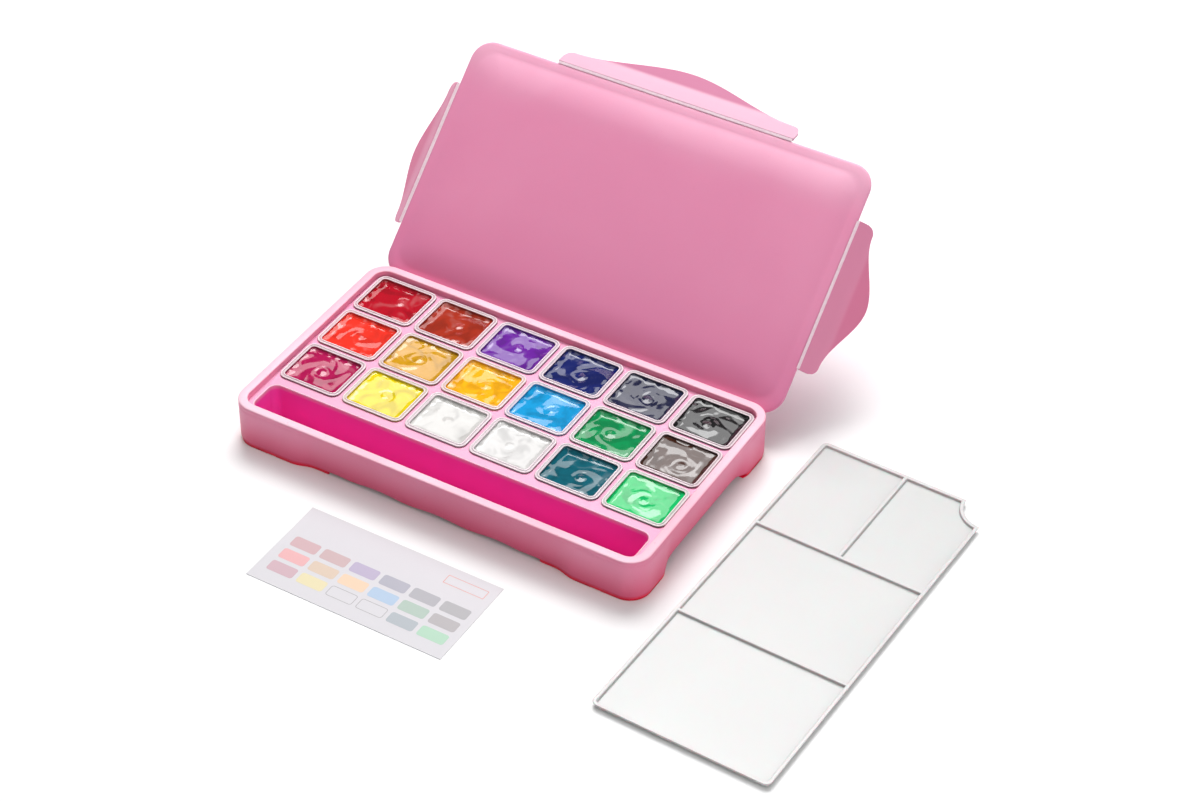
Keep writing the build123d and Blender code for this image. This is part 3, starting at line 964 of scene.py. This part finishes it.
    @staticmethod
    def squircle(u: float, v: float, rim: Ring) -> tuple[float, float]:
        """Map a square of plus and minus one to a rounded rectangle."""
        edge = max(abs(u), abs(v), 1e-6)
        half_x, half_y = rim.length / 2, rim.width / 2
        x, y = u * half_x, v * half_y
        outer_x, outer_y = u / edge * half_x, v / edge * half_y
        over_x = max(0.0, abs(outer_x) - (half_x - rim.radius))
        over_y = max(0.0, abs(outer_y) - (half_y - rim.radius))
        if over_x > 0 and over_y > 0:
            pull = max(over_x, over_y) / math.hypot(over_x, over_y)
            new_x = math.copysign(half_x - rim.radius + over_x * pull, u)
            new_y = math.copysign(half_y - rim.radius + over_y * pull, v)
            x += (new_x - outer_x) * edge ** 7
            y += (new_y - outer_y) * edge ** 7
        return x, y


@dataclass
class CupBlock:
    """The three rows of cups."""

    column_pitch: float = 47.8
    row_pitch: float = 41.7
    front_row: float = -24.8

    def spots(self) -> list[tuple[float, float]]:
        """The middle of every cup, row by row from the front."""
        return [((column - (len(paints) - 1) / 2) * self.column_pitch, self.front_row + row * self.row_pitch)
                for row, paints in enumerate(ROWS) for column in range(len(paints))]

    def build(self) -> None:
        """Build every cup and its paint."""
        paints = [paint for row in ROWS for paint in row]
        for number, (paint, (x, y)) in enumerate(zip(paints, self.spots())):
            cup = Cup(paint, x, y, 11 + number)
            cup.shell()
            cup.fill()
            LOG.info("cup of %s at %.1f, %.1f mm", paint.name, x, y)


# --- Lid and flaps ---


class Edge(Enum):
    """The four edges of the lid that carry a flap."""

    FRONT = "front"
    REAR = "rear"
    LEFT = "left"
    RIGHT = "right"


@dataclass
class Lid:
    """Lid with its raised middle, and where it leans."""

    length: float = 300.6
    width: float = 171.9
    radius: float = 15.3
    lean: float = 48.3
    edge_y: float = 87.2
    edge_z: float = 23.3
    skirt: float = 3.0
    wall: float = 1.8
    border: float = 6.8
    band: float = 23.0
    rise: float = 3.6
    foot_radius: float = 13.0
    top_radius: float = 6.0
    steps: int = 12

    def place(self) -> Matrix:
        """Where the flat lid goes."""
        lean = math.radians(self.lean)
        out = Vector((0.0, -math.cos(lean), math.sin(lean)))
        up = Vector((0.0, math.sin(lean), math.cos(lean)))
        turn = Matrix((Vector((1.0, 0.0, 0.0)), up, out)).transposed().to_4x4()
        return Matrix.Translation((0.0, self.edge_y, self.edge_z)) @ turn

    def pillow(self, deeper: float) -> list[tuple[float, float, float]]:
        """Inset, height and corner radius of the rings from the crease to the flat top."""
        rings = []
        for step in range(self.steps + 1):
            share = step / self.steps
            radius = self.foot_radius + (self.top_radius - self.foot_radius) * share
            rise = self.rise * share * (2.0 - share)
            rings.append((self.border + deeper + self.band * share, rise - deeper, radius))
        return rings

    def shell(self) -> bpy.types.Object:
        """Build the lid as one closed skin, from the top over the edge and up the inside."""
        skin = RingSkin(arc_steps=10, long_steps=6, short_steps=4)
        outline = Ring(self.length, self.width, self.radius, 0.0)
        border = [(self.border - 0.7, -0.02), (4.6, -0.16), (3.2, -0.34), (2.0, -0.52)]
        over = [(1.1, -0.7), (0.45, -0.9), (0.1, -1.2), (0.0, -1.6), (0.0, -self.skirt + 0.3), (0.3, -self.skirt),
                (self.wall, -self.skirt), (self.wall, -self.wall)]
        outside = self.pillow(0.0)[::-1]
        skin.add_all(outline.inset(*ring) for ring in outside + border + over + self.pillow(self.wall))
        skin.cap(skin.first)
        skin.cap(skin.last)
        bmesh.ops.translate(skin.bm, vec=(0.0, self.width / 2, 0.0), verts=skin.bm.verts[:])
        # Colours in order: painted highlight for the upper edge, the lid's pink, painted shade for the lower edge.
        finish = LidPlastic("lid_pink", (0.80, 0.38, 0.53), (0.77, 0.27, 0.44), (0.71, 0.21, 0.38))
        part = Part(skin.bm, "lid_skin", self.place()).dress(finish)
        return part.belongs("lid", "lid_plastic", "lid_shell")


@dataclass
class Flap:
    """Latch flap that hangs on the lid by a living hinge."""

    lid: Lid
    edge: Edge
    length: float
    fold: float
    panel: float = 12.5
    reach: float = 27.5
    corner: float = 6.0
    thickness: float = 2.0
    gap: float = 0.4
    bend_start: float = 9.0
    flare: float = 9.0
    bend: float = 38.0
    catch_at: float = 6.6
    catch_width: float = 1.4
    catch_height: float = 1.0
    catch_inset: float = 12.0
    tab_blend: float = 5.0
    film_thickness: float = 0.3
    # Panel and tab pinks for the front and rear flaps, then for the side flaps: lit and shaded copies of one plastic,
    # the tab's deeper pink being painted shade.
    lit_and_shaded_tints: tuple = (((0.72, 0.40, 0.52), (0.48, 0.13, 0.25)), ((0.72, 0.24, 0.39), (0.68, 0.18, 0.32)))

    @property
    def body(self) -> str:
        """Name of the flap's body."""
        return f"{self.edge.value}_flap"

    def place(self) -> Matrix:
        """Where the flap goes: its hinge on the X axis, pointing along +Y with its outside up."""
        out = self.gap + self.thickness / 2
        middle = self.lid.width / 2
        spots = {
            Edge.FRONT: (Vector((0, -1, 0)), (0.0, -out)),
            Edge.REAR: (Vector((0, 1, 0)), (0.0, self.lid.width + out)),
            Edge.LEFT: (Vector((-1, 0, 0)), (-self.lid.length / 2 - out, middle)),
            Edge.RIGHT: (Vector((1, 0, 0)), (self.lid.length / 2 + out, middle)),
        }
        away, (x, y) = spots[self.edge]
        down = Vector((0, 0, -1))
        fold = math.radians(self.fold)
        point = away * math.cos(fold) + down * math.sin(fold)
        face = away * math.sin(fold) - down * math.cos(fold)
        turn = Matrix((point.cross(face), point, face)).transposed().to_4x4()
        return self.lid.place() @ Matrix.Translation((x, y, -self.thickness / 2)) @ turn

    def edge_line(self, u: float) -> float:
        """How far the flap reaches from its hinge at a place along it."""
        end = self.length / 2
        arch = self.panel + (self.reach - self.panel) * smooth(1.0 - abs(u) / (end - self.corner))
        over = max(0.0, abs(u) - (end - self.corner))
        return arch - self.corner + math.sqrt(max(0.0, self.corner ** 2 - over * over))

    def rise(self, v: float) -> float:
        """Height of the middle of the flap's thickness above the hinge's plane."""
        flare = math.radians(self.flare)
        into = max(0.0, v - self.bend_start)
        limit = self.bend * math.sin(flare)
        if into < limit:
            return self.bend - math.sqrt(self.bend ** 2 - into * into)
        return self.bend * (1 - math.cos(flare)) + (into - limit) * math.tan(flare)

    def build(self) -> bpy.types.Object:
        """Build the flap and its catch rib."""
        bm = bmesh.new()
        bmesh.ops.create_grid(bm, x_segments=110, y_segments=26, size=0.5)
        tab = bm.verts.layers.float.new("tab")
        for vert in bm.verts:
            u = vert.co.x * (self.length - 0.02)
            v = (vert.co.y + 0.5) * (self.edge_line(u) - 0.1) + 0.1
            vert.co = (u, v, self.rise(v))
            # The tab attribute marks where the painted shade of the bent tab goes.
            vert[tab] = smooth((v - self.panel) / self.tab_blend)
        bmesh.ops.solidify(bm, geom=bm.verts[:] + bm.edges[:] + bm.faces[:], thickness=-self.thickness)
        bmesh.ops.translate(bm, vec=(0, 0, self.thickness / 2), verts=bm.verts[:])
        low = min(vert.co.z for vert in bm.verts if vert.co.y < 1.0)
        bmesh.ops.translate(bm, vec=(0, 0, -self.thickness / 2 - low), verts=bm.verts[:])
        rib = bmesh.ops.create_cube(bm, size=1.0)["verts"]
        bmesh.ops.scale(bm, vec=(self.length - 2 * self.catch_inset, self.catch_width, self.catch_height), verts=rib)
        drop = -(self.thickness + self.catch_height) / 2 + 0.05
        bmesh.ops.translate(bm, vec=(0, self.catch_at, drop), verts=rib)
        # Painted light: each pair of flaps takes its own lit or shaded pink, with a painted shaded tab.
        panel, tab = self.lit_and_shaded_tints[self.edge in (Edge.LEFT, Edge.RIGHT)]
        finish = FlapPlastic(f"{self.body}_pink", panel, tab)
        part = Part(bm, f"{self.body}_skin", self.place()).dress(finish).bevel(0.7, 3, 50.0)
        return part.belongs(self.body, "lid_plastic", self.body)

    def film(self) -> bpy.types.Object:
        """Build the thin hinge between the lid's edge and the flap."""
        root = self.gap + self.thickness / 2
        unfold = Matrix.Rotation(math.radians(self.fold), 3, "X")
        lid_side = unfold @ Vector((0.0, -root + 0.02, 0.55))
        flap_side = Vector((0.0, 0.35, 0.78))
        bm = bmesh.new()
        bmesh.ops.create_grid(bm, x_segments=40, y_segments=8, size=0.5)
        for vert in bm.verts:
            share = vert.co.y + 0.5
            point = lid_side.lerp(flap_side, smooth(share))
            sag = 0.12 * math.sin(math.pi * share) * math.cos(math.radians(self.fold) * share)
            vert.co = (vert.co.x * (self.length - 1.0), point.y, point.z + sag)
        bmesh.ops.solidify(bm, geom=bm.verts[:] + bm.edges[:] + bm.faces[:], thickness=self.film_thickness)
        name, place = f"{self.edge.value}_hinge_film", self.place()
        part = Part(bm, name, place).dress(HingeFilm(name, (0.80, 0.58, 0.66)))
        start = tuple(place @ (unfold @ Vector((0.0, -root, 0.0))) * MM)
        end = tuple(place @ Vector((0.0, 0.4, 0.0)) * MM)
        if self.edge is Edge.FRONT:
            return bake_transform(part.thing)
        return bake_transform(part.thing)


@dataclass
class LidGroup:
    """The lid and its four flaps."""

    long_flap: float = 177.0
    short_flap: float = 103.0
    folds: dict = field(default_factory=lambda: {
        Edge.FRONT: 94.5, Edge.REAR: 41.0, Edge.LEFT: 50.0, Edge.RIGHT: 47.0,
    })

    def build(self) -> None:
        """Build the lid, the flaps and their hinges."""
        lid = Lid()
        lid.shell()
        for edge, fold in self.folds.items():
            flap = Flap(lid, edge, self.long_flap if edge in (Edge.FRONT, Edge.REAR) else self.short_flap, fold)
            flap.build()
            flap.film()
            LOG.info("%s flap folded %.1f degrees", edge.value, fold)


# --- Palette and card ---


@dataclass
class Palette:
    """White mixing palette."""

    def build(self) -> bpy.types.Object:
        """Round the edges of the palette and dress it."""
        finish = Moulding("palette_white", (0.56, 0.56, 0.555), (0.535, 0.535, 0.53), roughness=0.3, scatter=0.6)
        part = Part(merged_copy("palette"), "palette_skin").dress(finish).bevel(0.7, 3)
        return part.belongs("palette", "palette_plastic", "palette")


@dataclass
class ColourCard:
    """Printed card with eighteen rounded patches."""

    x: float = 1.3
    y: float = -148.1
    turn: float = -0.45
    length: float = 140.9
    width: float = 70.1
    thickness: float = 0.4
    patch_size: tuple = (19.0, 9.0)
    patch_radius: float = 1.8
    pitch: tuple = (21.9, 12.3)
    first: tuple = (-54.0, -20.5)
    outline: tuple = (0.30, 0.28, 0.30)
    frame_ink: tuple = (0.66, 0.22, 0.17)
    line: float = 0.4
    print_rise: float = 0.03
    frame_size: tuple = (29.0, 7.5)
    frame_at: tuple = (50.0, 24.5)
    paper: tuple = (0.60, 0.585, 0.615)
    coverage: float = 0.45

    def place(self) -> Matrix:
        """Where the card lies."""
        return Matrix.Translation((self.x, self.y, 0.0)) @ Matrix.Rotation(math.radians(self.turn), 4, "Z")

    def card(self) -> bpy.types.Object:
        """Build the card."""
        bm = bmesh.new()
        bmesh.ops.create_grid(bm, x_segments=40, y_segments=20, size=0.5)
        for vert in bm.verts:
            vert.co = (vert.co.x * self.length, vert.co.y * self.width, self.thickness)
        bmesh.ops.solidify(bm, geom=bm.verts[:] + bm.edges[:] + bm.faces[:], thickness=self.thickness)
        part = Part(bm, "colour_card_skin", self.place()).dress(CardStock("card_white", self.paper))
        return part.belongs("colour_card", "card_stock", "colour_card")

    def ink(self, paint: Paint) -> Optional[Colour]:
        """A paint's own colour printed thinly on the paper, or None for a white, which is only outlined."""
        if paint.name.startswith("white"):
            return None
        return tuple(paper + (part - paper) * self.coverage for paper, part in zip(self.paper, paint.tint))

    def patches(self) -> bpy.types.Object:
        """Build the printed patches as one thin layer on the card."""
        bm = bmesh.new()
        ink = bm.faces.layers.float_color.new("ink")

        def lay(ring: Ring, colour: Colour, at: tuple, line: float = 0.0) -> None:
            """Print one patch, or only its outline where a line's width is given."""
            skin = RingSkin(arc_steps=5, bm=bm)
            before = set(bm.faces)
            verts = skin.add(ring)
            if line:
                verts += skin.add(ring.inset(line, ring.height))
            else:
                skin.cap(skin.last)
            for face in set(bm.faces) - before:
                face[ink] = (*colour, 1.0)
            bmesh.ops.translate(bm, vec=(*at, 0.0), verts=verts)

        height = self.thickness + self.print_rise
        patch = Ring(*self.patch_size, self.patch_radius, height)
        for row, paints in enumerate(ROWS):
            for column, paint in enumerate(paints):
                colour = self.ink(paint)
                at = (self.first[0] + column * self.pitch[0], self.first[1] + row * self.pitch[1])
                lay(patch, colour or self.outline, at, 0.0 if colour else self.line)
        lay(Ring(*self.frame_size, 0.5, height), self.frame_ink, self.frame_at, self.line)
        part = Part(bm, "colour_card_inks", self.place()).dress(PrintedInk("printed_inks", self.paper))
        return part.belongs("colour_card", "card_stock")

    def build(self) -> None:
        """Build the card and its print."""
        self.card()
        self.patches()


# --- Stage ---


@dataclass
class Studio:
    """Camera, lamps and the white surface that everything stands on."""

    eye: tuple = (0.7717, -1.2091, 1.2460)
    yaw: float = 30.057
    pitch: float = 40.155
    roll: float = 0.616
    lens: float = 89.07
    sensor: float = 36.0

    def camera(self) -> None:
        """Place the camera."""
        yaw, pitch, roll = (math.radians(angle) for angle in (self.yaw, self.pitch, self.roll))
        ahead = Vector((-math.sin(yaw) * math.cos(pitch), math.cos(yaw) * math.cos(pitch), -math.sin(pitch)))
        right = Vector((math.cos(yaw), math.sin(yaw), 0.0))
        up = right.cross(ahead)
        across = math.cos(roll) * right + math.sin(roll) * up
        upright = math.cos(roll) * up - math.sin(roll) * right
        data = bpy.data.cameras.new("camera")
        data.lens = self.lens
        data.sensor_width = self.sensor
        data.clip_end = 50.0
        thing = bpy.data.objects.new("camera", data)
        turn = Matrix((across, upright, -ahead)).transposed().to_4x4()
        thing.matrix_world = Matrix.Translation(self.eye) @ turn
        bpy.context.scene.collection.objects.link(thing)
        bpy.context.scene.camera = thing

    def lamp(self, name: str, turn: float, height: float, distance: float, size: tuple, radiance: float) -> None:
        """Add one softbox that faces the middle of the set.

        Args:
            name: Name of the lamp.
            turn: Its direction, in degrees to the left of straight behind the set.
            height: Its direction, in degrees above the surface.
            distance: How far away it is, in metres.
            size: Its width and height, in metres.
            radiance: How bright its face is.
        """
        data = bpy.data.lights.new(name, "AREA")
        data.shape = "RECTANGLE"
        data.size, data.size_y = size
        data.energy = radiance * math.pi * size[0] * size[1]
        thing = bpy.data.objects.new(name, data)
        turn, height = math.radians(turn), math.radians(height)
        away = Vector((-math.sin(turn) * math.cos(height), math.cos(turn) * math.cos(height), math.sin(height)))
        facing = (-away).to_track_quat("-Z", "Y").to_matrix().to_4x4()
        thing.matrix_world = Matrix.Translation(away * distance) @ facing
        bpy.context.scene.collection.objects.link(thing)

    def floor(self) -> None:
        """Lay the white surface."""
        bm = bmesh.new()
        bmesh.ops.create_grid(bm, x_segments=1, y_segments=1, size=6.0)
        mesh = bpy.data.meshes.new("floor")
        bm.to_mesh(mesh)
        bm.free()
        thing = bpy.data.objects.new("floor", mesh)
        bpy.context.scene.collection.objects.link(thing)
        graph = Graph("floor_white")
        path = graph.node("LightPath", output="Is Camera Ray")
        far = graph.node("VectorMath", {0: graph.place()}, output="Value", operation="LENGTH")
        matt = graph.node("BsdfDiffuse", {"Color": (0.84, 0.84, 0.84)})
        white = graph.ramp(far, 0.45, 1.4) * 1.2 + 0.06
        glow = graph.node("Emission", {"Color": (1.0, 1.0, 1.0), "Strength": path * white})
        both = graph.node("AddShader", {0: matt, 1: glow})
        graph.node("OutputMaterial", {"Surface": both})
        mesh.materials.append(graph.material)

    def world(self) -> None:
        """Light the scene all round and show white behind it."""
        world = bpy.data.worlds.new("studio")
        bpy.context.scene.world = world
        graph = Graph("studio", world)
        path = graph.node("LightPath", output="Is Camera Ray")
        level = graph.node("MapRange", {"Value": path, "To Min": 0.18, "To Max": 1.0})
        back = graph.node("Background", {"Color": (1.0, 1.0, 1.0), "Strength": level})
        graph.node("OutputWorld", {"Surface": back})

    def build(self) -> None:
        """Set up the whole stage."""
        self.camera()
        self.floor()
        self.world()
        for name, turn, height, distance, size, radiance in (
                ("rear_softbox", 14.0, 55.5, 2.4, (1.75, 1.3), 3.8),
                ("top_softbox", 150.0, 84.0, 2.2, (1.6, 1.6), 1.5),
                ("key_softbox", 30.0, 63.0, 2.2, (1.1, 1.1), 7.8),
                ("right_fill", -104.0, 20.0, 2.5, (1.2, 0.8), 5.4)):
            self.lamp(name, turn, height, distance, size, radiance)
        bpy.context.scene.view_settings.view_transform = "Standard"


def main() -> None:
    """Build the stage and every piece in order."""
    logging.basicConfig(level=logging.INFO, format="%(name)s: %(message)s")
    Studio().build()
    for group in (Case(), CupBlock(), LidGroup(), Palette(), ColourCard()):
        group.build()
        LOG.info("%s built", type(group).__name__)


if __name__ == "__main__":
    main()
